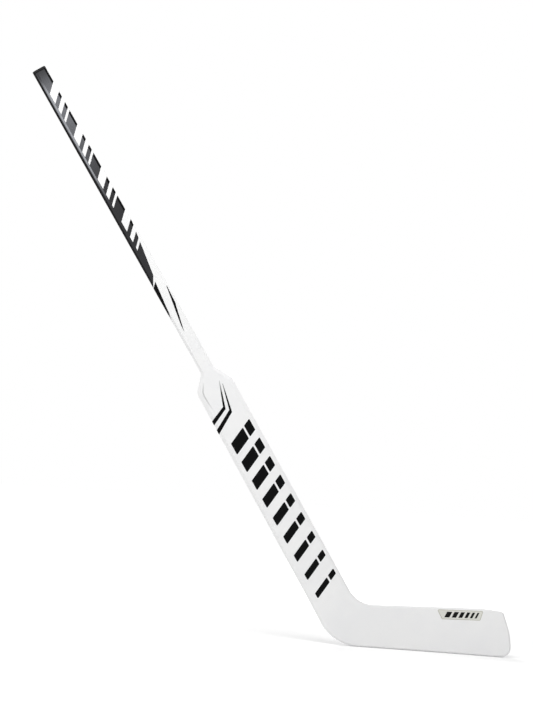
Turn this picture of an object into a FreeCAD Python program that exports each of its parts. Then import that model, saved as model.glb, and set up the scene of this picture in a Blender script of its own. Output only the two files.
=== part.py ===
import FreeCAD
import Part
import math
import os

Vector = FreeCAD.Vector

# Stance of the stick in play. X runs from heel to toe, Z up, the front face looks to -Y.
LIE_ANGLE = 56.6               # between the shaft and the ice, degrees
SOLE_REST = 205.0              # heel corner to the origin, the middle of the flat sole

# Shaft: a hollow bevelled rectangle
SHAFT_LENGTH = 682.0           # end of the neck to the end under the plug
SHAFT_WIDTH = 30.0
STICK_THICKNESS = 21.0         # shaft and paddle alike
SHAFT_WALL = 2.6
TENON_LENGTH = 110.0           # reduced end of the shaft inside the paddle

# Paddle: the widened part. Heights run along the shaft axis from the heel corner,
# the other sizes across from that axis. Outer is the heel's side, inner the toe's.
PADDLE_LENGTH = 609.0          # heel corner to the outer shoulder
INNER_SHOULDER_DROP = 8.0      # how much lower the inner shoulder is
FLARE_LENGTH = 32.0            # from the outer shoulder up to the shaft's edge
NECK_LENGTH = 49.0             # straight end of the skins round the shaft
OUTER_SHOULDER = 44.0
INNER_SHOULDER = 37.0
OUTER_HEEL = 53.3
INNER_THROAT = 34.0
NECK_RADIUS = 18.0
SHOULDER_RADIUS = 14.0
THROAT_RADIUS = 60.0
HEEL_RADIUS = 92.0

# Blade: lengths from the heel corner along the sole, heights above it
BLADE_LENGTH = 380.0
BLADE_HEIGHT = 87.0            # of the top edge, run on to the heel corner
TOE_RISE = 12.0                # how much the top edge has risen at its highest
TOE_RISE_SETBACK = 63.0        # from the end of the toe back to there
TOE_DROOP = 3.0                # from there down to the toe's top corner
TOE_TOP_SETBACK = 23.0
TOE_MIDDLE_SETBACK = 6.0
TOE_MIDDLE_SHARE = 0.52        # height of the toe's bend, of its top corner
TOP_RADIUS = 180.0
TOE_TOP_RADIUS = 9.0
TOE_FRONT_RADIUS = 120.0
TOE_SOLE_RADIUS = 20.0
CURVE_START = 118.0            # heel corner to where the blade starts to curve
FRONT_HOOK = 16.0              # how far the front face has come forward at the toe
TOE_THICKNESS = 14.0

# Bevel along every edge: its width on the face, its depth on the side
SHAFT_BEVEL = 4.5
SHOULDER_BEVEL = 8.0
BLADE_BEVEL = 3.5

# Laminate and what it is filled with
SKIN = 1.2
RAIL_WIDTH = 8.0
SPAR_TONGUE_LENGTH = 60.0      # up into the shaft bore
SPAR_ROOT_WIDTH = 14.0         # down into the heel block
SPAR_ROOT_LENGTH = 28.0
CHEEK_LENGTH = 79.0            # from the outer shoulder down to the end of the cheeks
HEEL_BLOCK_HEIGHT = 150.0      # top of the heel block, along the shaft axis
HEEL_BLOCK_LENGTH = 104.0      # end of the heel block, along the sole
RIB_WIDTH = 9.0
RIB_ROOT_LENGTH = 24.0
RIB_HEIGHT_SHARE = 0.52        # height of the rib's middle, of the blade's height
EDGE_STRIP = 7.0
TOE_INSERT_LENGTH = 46.0

# Foil label on the front of the blade
LABEL_SETBACK = 66.0           # from the end of the toe back to the label
LABEL_LENGTH = 98.0            # along its top edge
LABEL_HEIGHT = 20.5
LABEL_DROP = 3.8               # from the top edge down to the label
LABEL_HEEL_SLANT = 11.5        # how far its ends lean in below
LABEL_TOE_SLANT = 5.0
LABEL_THICKNESS = 0.2

# End plug: a flange on the shaft end and a finned shank in the bore
PLUG_FLANGE = 5.0
PLUG_CROWN = 2.2               # height of the bevel round the flange's end
PLUG_CROWN_INSET = 1.8
PLUG_CROWN_SHARES = ((0, 0), (0.4, 0.12), (0.75, 0.42), (1, 1))    # of that height and of the inset
PLUG_SHANK = 42.0
PLUG_FIN = 3.0
PLUG_FIN_COUNT = 4
PLUG_FIN_DEPTH = 1.2
PLUG_WALL = 2.2

# Clearances
GLUE_LINE = 0.1                # between a tongue and its bore
LABEL_GLUE = 0.45              # under the label
PLUG_CLEARANCE = 0.35          # between the plug and the shaft, on every side
OVERRUN = 30.0                 # how far a cutting shape runs past what it cuts
SQUARE_SHARE = 0.001           # most that the side of an edge may lean towards the front

LIE = math.radians(LIE_ANGLE)
AXIS = (-math.cos(LIE), math.sin(LIE))
ACROSS = (math.sin(LIE), math.cos(LIE))
HALF_WIDTH = SHAFT_WIDTH / 2
HALF_THICKNESS = STICK_THICKNESS / 2
HEEL_X = -SOLE_REST
BORE_WIDTH = SHAFT_WIDTH - 2 * SHAFT_WALL
BORE_THICKNESS = STICK_THICKNESS - 2 * SHAFT_WALL
CURVE_RUN = BLADE_LENGTH - CURVE_START
CURVE_X = HEEL_X + CURVE_START
BACK_HOOK = FRONT_HOOK + STICK_THICKNESS - TOE_THICKNESS
MIDDLE_HOOK = (FRONT_HOOK + BACK_HOOK) / 2
INNER_SHOULDER_HEIGHT = PADDLE_LENGTH - INNER_SHOULDER_DROP
FLARE_HEIGHT = PADDLE_LENGTH + FLARE_LENGTH
NECK_HEIGHT = FLARE_HEIGHT + NECK_LENGTH
CHEEK_HEIGHT = PADDLE_LENGTH - CHEEK_LENGTH
TENON_HEIGHT = NECK_HEIGHT - TENON_LENGTH
SHAFT_TOP = NECK_HEIGHT + SHAFT_LENGTH
STICK_TOP = SHAFT_TOP + PLUG_FLANGE
TOP_RISE_END = BLADE_LENGTH - TOE_RISE_SETBACK
TOE_TOP = BLADE_HEIGHT + TOE_RISE - TOE_DROOP
RISE_SHARE = TOE_RISE / TOP_RISE_END
BEVEL_DEPTH = BLADE_BEVEL


def inner_bevel_share(width, thickness):
    """Share of a bevel that is left on a surface laid the given thickness inside it."""
    return 1 + thickness * (math.hypot(1 / width, 1 / BEVEL_DEPTH) - 1 / width - 1 / BEVEL_DEPTH)


def on_paddle(across, along):
    """Point of the XZ plane from offsets across and along the shaft axis."""
    x = HEEL_X + (OUTER_HEEL + across) * ACROSS[0] + along * AXIS[0]
    z = (OUTER_HEEL + across) * ACROSS[1] + along * AXIS[1]
    return (x, z)


def on_blade(length, height):
    """Point of the XZ plane from a length along the sole and a height above it."""
    return (HEEL_X + length, height)


def meet(a, b, c, d):
    """Point where the line through a and b crosses the line through c and d."""
    ux, uz = b[0] - a[0], b[1] - a[1]
    vx, vz = d[0] - c[0], d[1] - c[1]
    step = ((c[0] - a[0]) * vz - (c[1] - a[1]) * vx) / (ux * vz - uz * vx)
    return (a[0] + step * ux, a[1] + step * uz)


TOP_START = on_blade(0, BLADE_HEIGHT)
TOP_END = on_blade(TOP_RISE_END, BLADE_HEIGHT + TOE_RISE)
INNER_TOP = on_paddle(INNER_SHOULDER, INNER_SHOULDER_HEIGHT)
INNER_FOOT = on_paddle(INNER_THROAT, 0)
THROAT = meet(TOP_START, TOP_END, INNER_TOP, INNER_FOOT)
HEEL = on_blade(0, 0)

# Outline against the clock, seen from the front: place, corner radius, bevel width
OUTLINE = [
    (on_paddle(HALF_WIDTH, NECK_HEIGHT), 0, SHAFT_BEVEL),
    (on_paddle(-HALF_WIDTH, NECK_HEIGHT), 0, SHAFT_BEVEL),
    (on_paddle(-HALF_WIDTH, FLARE_HEIGHT), NECK_RADIUS, SHAFT_BEVEL),
    (on_paddle(-OUTER_SHOULDER, PADDLE_LENGTH), SHOULDER_RADIUS, SHOULDER_BEVEL),
    (HEEL, HEEL_RADIUS, BLADE_BEVEL),
    (on_blade(BLADE_LENGTH, 0), TOE_SOLE_RADIUS, BLADE_BEVEL),
    (on_blade(BLADE_LENGTH - TOE_MIDDLE_SETBACK, TOE_TOP * TOE_MIDDLE_SHARE), TOE_FRONT_RADIUS, BLADE_BEVEL),
    (on_blade(BLADE_LENGTH - TOE_TOP_SETBACK, TOE_TOP), TOE_TOP_RADIUS, BLADE_BEVEL),
    (TOP_END, TOP_RADIUS, BLADE_BEVEL),
    (THROAT, THROAT_RADIUS, BLADE_BEVEL),
    (INNER_TOP, SHOULDER_RADIUS, SHOULDER_BEVEL),
    (on_paddle(HALF_WIDTH, FLARE_HEIGHT), NECK_RADIUS, SHAFT_BEVEL),
]


def inset(outline, skin, bevels):
    """The outline laid inside itself by a skin and a share of each corner's bevel. The neck end stays."""
    count = len(outline)
    places = [corner[0] for corner in outline]
    widths = [skin + bevels(corner[2]) for corner in outline]
    runs = []
    for i in range(count):
        j = (i + 1) % count
        dx, dz = places[j][0] - places[i][0], places[j][1] - places[i][1]
        length = math.hypot(dx, dz)
        start, end = (0, 0) if i == 0 else (widths[i], widths[j])
        nx, nz = -dz / length, dx / length
        first = (places[i][0] + nx * start, places[i][1] + nz * start)
        second = (places[j][0] + nx * end, places[j][1] + nz * end)
        runs.append((first, second, dx, dz))
    corners = []
    for i in range(count):
        a, b, ax, az = runs[i - 1]
        c, d, cx, cz = runs[i]
        hollow = ax * cz - az * cx < 0
        radius = outline[i][1]
        if radius:
            radius = radius + widths[i] if hollow else radius - widths[i]
        corners.append((meet(a, b, c, d), radius, outline[i][2]))
    return corners


def rounded_wire(outline, y):
    """Closed wire at depth y: straight runs joined by arcs tangent to them."""
    count = len(outline)
    bends = []
    for i in range(count):
        (x, z), radius, _ = outline[i]
        corner = Vector(x, y, z)
        if not radius:
            bends.append((corner, None, corner))
            continue
        (px, pz), (nx, nz) = outline[i - 1][0], outline[(i + 1) % count][0]
        back = (Vector(px, y, pz) - corner).normalize()
        ahead = (Vector(nx, y, nz) - corner).normalize()
        half = back.getAngle(ahead) / 2
        reach = radius / math.tan(half)
        inward = (back + ahead).normalize() * (radius / math.sin(half) - radius)
        bends.append((corner + back * reach, corner + inward, corner + ahead * reach))
    edges = []
    for i in range(count):
        start, middle, end = bends[i]
        if middle:
            edges.append(Part.Arc(start, middle, end).toShape())
        edges.append(Part.makeLine(end, bends[(i + 1) % count][0]))
    return Part.Wire(edges)


def prism(points):
    """Solid over a polygon of the XZ plane, deep enough to hold the whole stick."""
    depth = BACK_HOOK + STICK_THICKNESS + OVERRUN
    ring = [Vector(x, -depth, z) for x, z in points]
    face = Part.Face(Part.makePolygon(ring + ring[:1]))
    return face.extrude(Vector(0, 2 * depth, 0))


def paddle_prism(low, high, left, right):
    """Prism square to the shaft axis between two heights and two offsets."""
    return prism([on_paddle(left, low), on_paddle(right, low), on_paddle(right, high), on_paddle(left, high)])


def blade_prism(start, end, low, high):
    """Prism square to the sole between two lengths and two heights."""
    return prism([on_blade(start, low), on_blade(end, low), on_blade(end, high), on_blade(start, high)])


def flat_solid(skin):
    """The lower stick with bevelled edges as if the blade were flat, laid inside itself by a skin."""
    share = inner_bevel_share(BLADE_BEVEL, skin)
    half = HALF_THICKNESS - skin
    side = half - BEVEL_DEPTH * share
    rim = inset(OUTLINE, skin, lambda bevel: 0)
    face = inset(OUTLINE, skin, lambda bevel: bevel * share)
    slab = Part.Face(rounded_wire(rim, -side)).extrude(Vector(0, 2 * side, 0))
    front = Part.makeLoft([rounded_wire(face, -half), rounded_wire(rim, -side)], True, True)
    back = Part.makeLoft([rounded_wire(rim, side), rounded_wire(face, half)], True, True)
    return slab.fuse([front, back])


def hook_arc(y, hook, grow, backwards):
    """Arc of the blade's plan from the start of the curve past the toe, its radius grown by a length."""
    radius = (CURVE_RUN ** 2 + hook ** 2) / (2 * hook)
    centre = y - radius
    reach = CURVE_RUN + OVERRUN
    size = radius + grow
    start = Vector(CURVE_X, centre + size, 0)
    middle = Vector(CURVE_X + reach / 2, centre + math.sqrt(size ** 2 - (reach / 2) ** 2), 0)
    end = Vector(CURVE_X + reach, centre + math.sqrt(size ** 2 - reach ** 2), 0)
    if backwards:
        return Part.Arc(end, middle, start).toShape()
    return Part.Arc(start, middle, end).toShape()


def plan_band(front, back):
    """Solid between two plan curves of the blade, each given by depth, hook and radius growth."""
    near = hook_arc(front[0], front[1], front[2], False)
    far = hook_arc(back[0], back[1], back[2], True)
    left = HEEL_X - OVERRUN
    a, b = near.Vertexes[0].Point, near.Vertexes[1].Point
    c, d = far.Vertexes[0].Point, far.Vertexes[1].Point
    first, last = Vector(left, a.y, 0), Vector(left, d.y, 0)
    runs = [Part.makeLine(first, a), near, Part.makeLine(b, c), far, Part.makeLine(d, last)]
    face = Part.Face(Part.Wire(runs + [Part.makeLine(last, first)]))
    face.translate(Vector(0, 0, -OVERRUN))
    return face.extrude(Vector(0, 0, BLADE_HEIGHT + HEEL_BLOCK_HEIGHT + OVERRUN))


def is_rim(face):
    """Whether a face runs square to the front, as the edges of the outline do."""
    u0, u1, v0, v1 = face.ParameterRange
    return abs(face.normalAt((u0 + u1) / 2, (v0 + v1) / 2).y) < SQUARE_SHARE


def curved_solid(skin):
    """The curved blade with bevelled edges and a stub of paddle, laid inside itself by a skin."""
    share = inner_bevel_share(BLADE_BEVEL, skin)
    face = Part.Face(rounded_wire(inset(OUTLINE, skin, lambda bevel: 0), -BACK_HOOK - STICK_THICKNESS))
    body = face.extrude(Vector(0, 2 * (BACK_HOOK + STICK_THICKNESS), 0))
    front = (-HALF_THICKNESS, FRONT_HOOK, skin)
    back = (HALF_THICKNESS, BACK_HOOK, -skin)
    body = body.common(plan_band(front, back))
    left = HEEL_X - OVERRUN / 2
    rims = []
    for edge in body.Edges:
        sides = [is_rim(side) for side in body.ancestorsOfType(edge, Part.Face)]
        if True in sides and False in sides and edge.BoundBox.XMax > left:
            rims.append(edge)
    return body.makeChamfer(BLADE_BEVEL * share, rims)


def single(shape):
    """The one solid of a shape, with faces that carry on into each other joined."""
    clean = shape.removeSplitter()
    if len(clean.Solids) != 1:
        raise ValueError("expected one solid, found %d" % len(clean.Solids))
    return clean.Solids[0]


def bevelled_section(width, thickness, bevel_share, along):
    """Wire of the shaft's section at a height, its bevels taken as a share of the outer ones."""
    x, y = width / 2, thickness / 2
    bx, by = SHAFT_BEVEL * bevel_share, BEVEL_DEPTH * bevel_share
    back = [(x, y - by), (x - bx, y), (bx - x, y), (-x, y - by)]
    front = [(-across, -depth) for across, depth in back]
    ring = []
    for across, depth in back + front:
        px, pz = on_paddle(across, along)
        ring.append(Vector(px, depth, pz))
    return Part.makePolygon(ring + ring[:1])


def shaft_bar(width, thickness, bevel_share, low, high):
    """Bar with the shaft's section between two heights."""
    wire = bevelled_section(width, thickness, bevel_share, low)
    length = high - low
    return Part.Face(wire).extrude(Vector(AXIS[0] * length, 0, AXIS[1] * length))


SKIN_SHARE = inner_bevel_share(BLADE_BEVEL, SKIN)
BORE_SHARE = inner_bevel_share(BLADE_BEVEL, SHAFT_WALL)
TENON_WIDTH = SHAFT_WIDTH - 2 * SKIN
TENON_THICKNESS = STICK_THICKNESS - 2 * SKIN


def shaft_tube():
    """Hollow shaft with its reduced tenon."""
    tube = shaft_bar(SHAFT_WIDTH, STICK_THICKNESS, 1, NECK_HEIGHT, SHAFT_TOP)
    tenon = shaft_bar(TENON_WIDTH, TENON_THICKNESS, SKIN_SHARE, TENON_HEIGHT, NECK_HEIGHT)
    bore = shaft_bar(BORE_WIDTH, BORE_THICKNESS, BORE_SHARE, TENON_HEIGHT - OVERRUN, SHAFT_TOP + OVERRUN)
    return single(tube.fuse(tenon).cut(bore))


def butt_plug():
    """End plug: bevelled flange, hollow shank and the fins round it."""
    gap = 2 * PLUG_CLEARANCE
    seat = SHAFT_TOP + PLUG_CLEARANCE
    brow = STICK_TOP - PLUG_CROWN
    rim = shaft_bar(SHAFT_WIDTH, STICK_THICKNESS, 1, seat, brow)
    rings = []
    for rise_share, inset_share in PLUG_CROWN_SHARES:
        trim = 2 * PLUG_CROWN_INSET * inset_share
        height = brow + PLUG_CROWN * rise_share
        rings.append(bevelled_section(SHAFT_WIDTH - trim, STICK_THICKNESS - trim, 1, height))
    crown = Part.makeLoft(rings, True, True)
    foot = seat - PLUG_SHANK
    waist = gap + 2 * PLUG_FIN_DEPTH
    plug = rim.fuse(crown)
    plug = plug.fuse(shaft_bar(BORE_WIDTH - waist, BORE_THICKNESS - waist, BORE_SHARE, foot, seat))
    pitch = (PLUG_SHANK - PLUG_FIN) / PLUG_FIN_COUNT
    for step in range(PLUG_FIN_COUNT):
        low = foot + step * pitch
        plug = plug.fuse(shaft_bar(BORE_WIDTH - gap, BORE_THICKNESS - gap, BORE_SHARE, low, low + PLUG_FIN))
    hollow = waist + 2 * PLUG_WALL
    well = shaft_bar(BORE_WIDTH - hollow, BORE_THICKNESS - hollow, BORE_SHARE, foot - OVERRUN, seat)
    return single(plug.cut(well))


def scarf(blade_side):
    """Half of space on one side of the joint between paddle and blade, which runs from heel to throat."""
    dx, dz = THROAT[0] - HEEL[0], THROAT[1] - HEEL[1]
    low = (HEEL[0] - dx, HEEL[1] - dz)
    high = (THROAT[0] + dx, THROAT[1] + dz)
    if blade_side:
        far = STICK_TOP
        return prism([low, (low[0] + far, low[1]), (high[0] + far, high[1]), high])
    far = -2 * STICK_TOP
    lid = 2 * STICK_TOP
    return prism([low, high, (high[0], lid), (far, lid), (far, low[1])])


def halves(shell, cutter_front, cutter_back):
    """Front and back of a shell."""
    return single(shell.common(cutter_front)), single(shell.common(cutter_back))


def paddle_skins(outer, inner):
    """The two laminate shells of the paddle."""
    shell = outer.cut(inner)
    size = 3 * STICK_TOP
    front = Part.makeBox(size, STICK_THICKNESS, size, Vector(-2 * STICK_TOP, -STICK_THICKNESS, -STICK_TOP))
    back = Part.makeBox(size, STICK_THICKNESS, size, Vector(-2 * STICK_TOP, 0, -STICK_TOP))
    return halves(shell, front, back)


def blade_skins(outer, inner):
    """The two laminate shells of the blade, parted along its curved middle."""
    shell = outer.cut(inner)
    middle = (0, MIDDLE_HOOK, 0)
    front = plan_band((-STICK_THICKNESS, FRONT_HOOK, 0), middle)
    back = plan_band(middle, (STICK_THICKNESS, BACK_HOOK, 0))
    return halves(shell, front, back)


def edge_strip(top, foot, span, inwards):
    """Prism over a strip of paddle along an edge, given by its offsets at a height and at the heel."""
    side = 1 if top > 0 else -1
    lid, floor = CHEEK_HEIGHT, HEEL_BLOCK_HEIGHT

    def offset(height):
        return foot + (top - foot) * height / span

    far = side * OVERRUN
    near = -side * inwards
    return prism([
        on_paddle(offset(floor) + far, floor),
        on_paddle(offset(lid) + far, lid),
        on_paddle(offset(lid) + near, lid),
        on_paddle(offset(floor) + near, floor),
    ])


def paddle_filling(inner):
    """Cheeks, spar, rails and foam of the paddle."""
    far = OUTER_SHOULDER + OUTER_HEEL
    half = TENON_WIDTH / 2
    lid = CHEEK_HEIGHT
    floor = HEEL_BLOCK_HEIGHT
    tenon = shaft_bar(TENON_WIDTH, TENON_THICKNESS, SKIN_SHARE, TENON_HEIGHT, NECK_HEIGHT)
    spar = inner.common(paddle_prism(floor, TENON_HEIGHT, -half, half))
    root_half = SPAR_ROOT_WIDTH / 2
    root = inner.common(paddle_prism(floor - SPAR_ROOT_LENGTH, floor, -root_half, root_half))
    tongue_width = BORE_WIDTH - 2 * GLUE_LINE
    tongue_thickness = BORE_THICKNESS - 2 * GLUE_LINE
    tongue_top = TENON_HEIGHT + SPAR_TONGUE_LENGTH
    tongue = shaft_bar(tongue_width, tongue_thickness, BORE_SHARE, TENON_HEIGHT, tongue_top)
    outer_rail = edge_strip(-OUTER_SHOULDER, -OUTER_HEEL, PADDLE_LENGTH, SKIN + RAIL_WIDTH)
    inner_rail = edge_strip(INNER_SHOULDER, INNER_THROAT, INNER_SHOULDER_HEIGHT, SKIN + RAIL_WIDTH)
    outer_cheek = inner.common(paddle_prism(lid, NECK_HEIGHT, -far, 0)).cut(tenon)
    inner_cheek = inner.common(paddle_prism(lid, NECK_HEIGHT, 0, far)).cut(tenon)
    spar_strip = paddle_prism(lid - OVERRUN, TENON_HEIGHT, -half, half)
    return {
        "paddle_spar": single(spar.fuse(root).fuse(tongue)),
        "shoulder_cheek_outer": single(outer_cheek.cut(spar_strip)),
        "shoulder_cheek_inner": single(inner_cheek.cut(spar_strip)),
        "paddle_rail_outer": single(inner.common(outer_rail)),
        "paddle_rail_inner": single(inner.common(inner_rail)),
        "paddle_core_outer": single(inner.common(paddle_prism(floor, lid, -far, -half)).cut(outer_rail)),
        "paddle_core_inner": single(inner.common(paddle_prism(floor, lid, half, far)).cut(inner_rail)),
    }


def along_top(drop):
    """Two points of a line under the blade's top edge, from the heel end past the toe."""
    height = BLADE_HEIGHT - drop
    return on_blade(0, height), on_blade(BLADE_LENGTH, height + RISE_SHARE * BLADE_LENGTH)


def band_prism(start, end, low, high):
    """Prism over the blade between two lines, each given by two points, from one length to another."""
    left, right = HEEL_X + start, HEEL_X + end

    def at(line, x):
        (ax, az), (bx, bz) = line
        return (x, az + (bz - az) * (x - ax) / (bx - ax))

    return prism([at(low, left), at(low, right), at(high, right), at(high, left)])


def blade_filling(inner):
    """Rib, foam, edge strips and toe insert of the blade."""
    start = HEEL_BLOCK_LENGTH
    end = BLADE_LENGTH - TOE_INSERT_LENGTH
    sole = (on_blade(0, SKIN + EDGE_STRIP), on_blade(BLADE_LENGTH, SKIN + EDGE_STRIP))
    under = (on_blade(0, -OVERRUN), on_blade(BLADE_LENGTH, -OVERRUN))
    top = along_top(SKIN + EDGE_STRIP)
    over = along_top(-OVERRUN)
    middle_drop = (1 - RIB_HEIGHT_SHARE) * BLADE_HEIGHT
    rib_top = along_top(middle_drop - RIB_WIDTH / 2)
    rib_foot = along_top(middle_drop + RIB_WIDTH / 2)
    return {
        "blade_rib": single(inner.common(band_prism(start - RIB_ROOT_LENGTH, end, rib_foot, rib_top))),
        "blade_upper_core": single(inner.common(band_prism(start, end, rib_top, top))),
        "blade_lower_core": single(inner.common(band_prism(start, end, sole, rib_foot))),
        "sole_strip": single(inner.common(band_prism(start, end, under, sole))),
        "top_strip": single(inner.common(band_prism(start, end, top, over))),
        "toe_insert": single(inner.common(band_prism(end, BLADE_LENGTH + OVERRUN, under, over))),
    }


def heel_block(paddle_core, blade_core, fitted):
    """Block in the heel, with sockets for the pieces that run into it."""
    far = OUTER_HEEL + BLADE_LENGTH
    low = paddle_core.common(paddle_prism(-far, HEEL_BLOCK_HEIGHT, -far, far))
    near = blade_core.common(blade_prism(-OVERRUN, HEEL_BLOCK_LENGTH, -OVERRUN, far))
    block = low.fuse(near)
    for piece in fitted:
        block = block.cut(piece)
    return single(block)


def toe_label():
    """Foil label that follows the front of the blade, shorter below than above."""
    start = BLADE_LENGTH - LABEL_SETBACK - LABEL_LENGTH
    end = start + LABEL_LENGTH
    low_start = start + LABEL_HEEL_SLANT
    low_end = end - LABEL_TOE_SLANT
    corners = []
    for place, depth in ((low_start, LABEL_HEIGHT), (low_end, LABEL_HEIGHT), (end, 0), (start, 0)):
        corners.append(on_blade(place, BLADE_HEIGHT + RISE_SHARE * place - LABEL_DROP - depth))
    near = (-HALF_THICKNESS, FRONT_HOOK, -LABEL_GLUE - LABEL_THICKNESS)
    far = (-HALF_THICKNESS, FRONT_HOOK, -LABEL_GLUE)
    foil = plan_band(near, far)
    return single(prism(corners).common(foil))


def stick():
    """Every piece of the stick by name."""
    paddle_outer = single(flat_solid(0).common(scarf(False)))
    paddle_core = single(flat_solid(SKIN).common(scarf(False)))
    blade_outer = single(curved_solid(0).common(scarf(True)))
    blade_core = single(curved_solid(SKIN).common(scarf(True)))
    pieces = {"shaft_tube": shaft_tube(), "butt_plug": butt_plug(), "toe_label": toe_label()}
    pieces["paddle_front_skin"], pieces["paddle_back_skin"] = paddle_skins(paddle_outer, paddle_core)
    pieces["blade_front_skin"], pieces["blade_back_skin"] = blade_skins(blade_outer, blade_core)
    pieces.update(paddle_filling(paddle_core))
    pieces.update(blade_filling(blade_core))
    fitted = [pieces["paddle_spar"], pieces["blade_rib"]]
    pieces["heel_block"] = heel_block(paddle_core, blade_core, fitted)
    return pieces


os.makedirs("parts", exist_ok=True)
for node, shape in stick().items():
    shape.exportStep("parts/" + node + ".step")
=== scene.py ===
"""Looks of a hockey goalie stick: printed films, finishes, studio and camera around its solids."""
import logging
import math
from dataclasses import dataclass
from enum import Enum
from typing import Any, Callable, Dict, List, Mapping, Sequence, Tuple, Union

import bpy
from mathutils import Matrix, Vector


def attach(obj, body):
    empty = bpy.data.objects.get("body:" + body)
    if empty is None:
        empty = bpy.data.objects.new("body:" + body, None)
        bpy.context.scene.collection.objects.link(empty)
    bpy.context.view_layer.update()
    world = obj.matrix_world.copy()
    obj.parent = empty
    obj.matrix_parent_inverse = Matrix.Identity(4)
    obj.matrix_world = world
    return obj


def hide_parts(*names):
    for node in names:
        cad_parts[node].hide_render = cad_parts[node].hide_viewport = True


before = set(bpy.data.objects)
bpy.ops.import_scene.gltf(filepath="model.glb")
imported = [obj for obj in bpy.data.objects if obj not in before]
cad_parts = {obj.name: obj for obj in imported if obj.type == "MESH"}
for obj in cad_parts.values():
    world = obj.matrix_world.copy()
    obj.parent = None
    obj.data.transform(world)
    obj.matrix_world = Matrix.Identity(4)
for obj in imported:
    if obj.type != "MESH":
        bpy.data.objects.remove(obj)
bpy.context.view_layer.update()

LOG = logging.getLogger("goalie_stick")

MM = 0.001
THROUGH = Vector((0.0, 1.0, 0.0))

# Limits of cutting, merging, flattening and smoothing a film.
HAIR = 1e-7
WELD = 0.002 * MM
FLAT_BEND = math.radians(0.05)
SMOOTH_BEND = math.radians(20.0)

# Limits on a face's normal: along the shaft on its sides, through it on a flat face and on a side edge.
SIDE_LEAN = 0.1
FACE_SHARE = 0.95
EDGE_SHARE = 0.05

Colour = Tuple[float, float, float]
Triple = Tuple[float, float, float]
Spot = Tuple[float, float]
Outline = Sequence[Spot]
Key = Union[int, str]


class Body(Enum):
    """Body of the record that the films ride on."""

    STICK = "stick"


class Slot(Enum):
    """Material slots of the record, one named with each film."""

    SHAFT = "shaft_coat"
    PADDLE = "paddle_coat"
    LABEL = "label_foil"


@dataclass(frozen=True)
class Stance:
    """How the stick stands: the slope of its shaft and where the shaft's axis runs, in millimetres."""

    lie_degrees: float = 56.6
    heel_x: float = -205.0
    axis_offset: float = 53.3

    @property
    def axis(self) -> Vector:
        """Direction up the shaft."""
        lie = math.radians(self.lie_degrees)
        return Vector((-math.cos(lie), 0.0, math.sin(lie)))

    @property
    def across(self) -> Vector:
        """Direction across the shaft, from the heel side towards the toe side."""
        lie = math.radians(self.lie_degrees)
        return Vector((math.sin(lie), 0.0, math.cos(lie)))

    @property
    def heel(self) -> Vector:
        """Corner of the heel that both measures start from, in metres."""
        return Vector((self.heel_x * MM, 0.0, 0.0))

    def at(self, spot: Spot) -> Vector:
        """Point of the middle plane.

        Args:
            spot: Offset across the shaft's axis and height along it, in millimetres.

        Returns:
            The point in the frame of the solids, in metres.
        """
        offset, height = spot
        return self.heel + (self.axis_offset + offset) * MM * self.across + height * MM * self.axis

    def measure(self, point: Vector) -> Spot:
        """Offset across the axis and height along it of a point, in millimetres.

        Args:
            point: A point in metres.

        Returns:
            The pair that `at` would take.
        """
        reach = (point - self.heel) / MM
        return reach.dot(self.across) - self.axis_offset, reach.dot(self.axis)


STANCE = Stance()


class Wire:
    """One output of a shader node, which takes part in Python sums."""

    def __init__(self, shader: "Shader", port: bpy.types.NodeSocket) -> None:
        """Keep the tree and the socket together."""
        self.shader = shader
        self.port = port

    def also(self, key: Key) -> "Wire":
        """Another output of the same node."""
        return Wire(self.shader, self.port.node.outputs[key])

    def __add__(self, other: "Value") -> "Wire":
        """Sum."""
        return self.shader.math("ADD", self, other)

    def __radd__(self, other: "Value") -> "Wire":
        """Sum, from the right."""
        return self.shader.math("ADD", other, self)

    def __sub__(self, other: "Value") -> "Wire":
        """Difference."""
        return self.shader.math("SUBTRACT", self, other)

    def __rsub__(self, other: "Value") -> "Wire":
        """Difference, from the right."""
        return self.shader.math("SUBTRACT", other, self)

    def __mul__(self, other: "Value") -> "Wire":
        """Product."""
        return self.shader.math("MULTIPLY", self, other)

    def __rmul__(self, other: "Value") -> "Wire":
        """Product, from the right."""
        return self.shader.math("MULTIPLY", other, self)


Value = Union[Wire, float, int, Tuple[float, ...]]


@dataclass(frozen=True)
class Grain:
    """One layer of noise: its scale, its detail and how rough that detail is."""

    scale: float
    detail: float = 3.0
    roughness: float = 0.5


@dataclass(frozen=True)
class Relief:
    """Small heights on a surface: how strongly they show and how deep they are, in millimetres."""

    strength: float
    depth: float


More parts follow.
